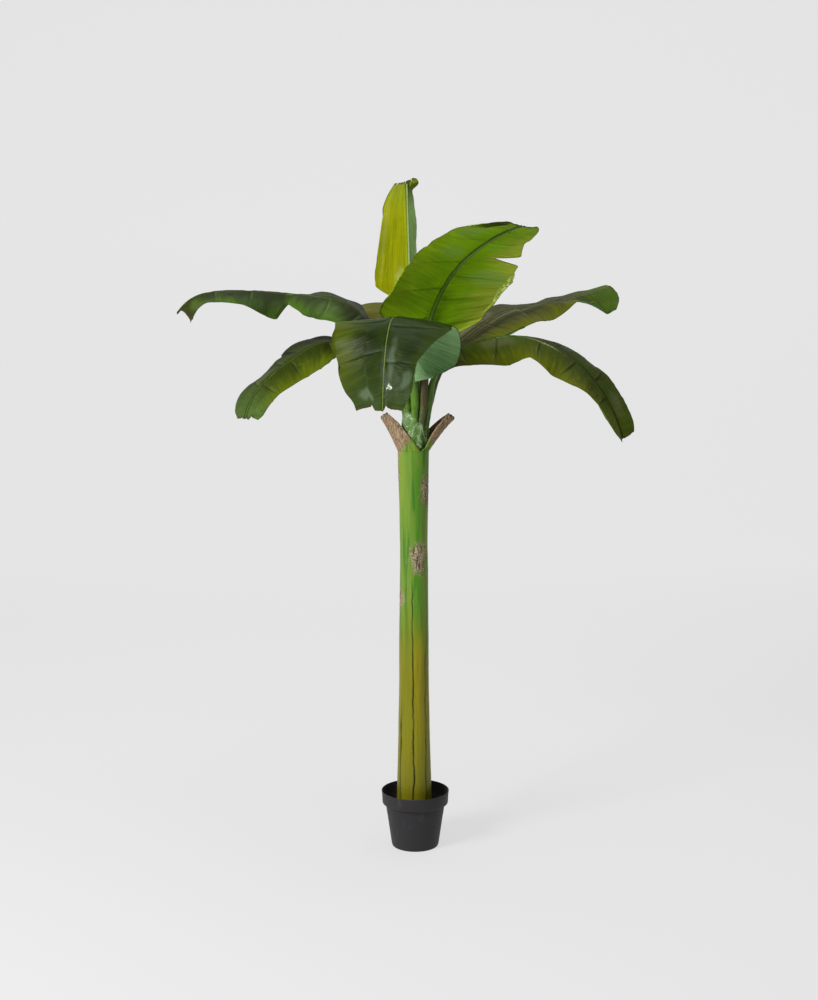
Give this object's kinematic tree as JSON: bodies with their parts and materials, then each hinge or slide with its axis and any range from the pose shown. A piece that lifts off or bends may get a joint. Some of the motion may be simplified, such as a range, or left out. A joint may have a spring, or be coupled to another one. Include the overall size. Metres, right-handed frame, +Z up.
{
  "type": "artificial banana tree",
  "caption": "Artificial banana tree: a bare green trunk, a crown of broad arching leaves with two cut leaf stubs under it, in a plain round pot.",
  "frame": {"origin": "Centre of the pot's flat underside, on the floor.", "axes": "+Z up along the plant, +X to the right and +Y away, seen from the front where the folded leaf hangs towards the viewer."},
  "size_m": [1.4207, 1.1589, 2.0964],
  "materials": {
    "pot": "matte, fine grain",
    "filling": "rough dark cement",
    "trunk": "green stem wrap with brown scars, satin",
    "neck": "crumpled green stalk wrap, satin",
    "stub": "dry brown fibre, rough",
    "leaf": "printed leaf cloth with a raised rib, glossy above and matte beneath"
  },
  "bodies": {
    "root": {"pot": "pot", "filling": "filling", "trunk": "trunk", "neck": "neck", "stub_left": "stub", "stub_right": "stub", "leaf_front_up": "leaf", "leaf_front_low": "leaf", "leaf_upright": "leaf", "leaf_left_high": "leaf", "leaf_right_high": "leaf", "leaf_left_low": "leaf", "leaf_right_low": "leaf", "leaf_back": "leaf", "leaf_back_right": "leaf", "leaf_back_left": "leaf"}
  },
  "joints": []
}
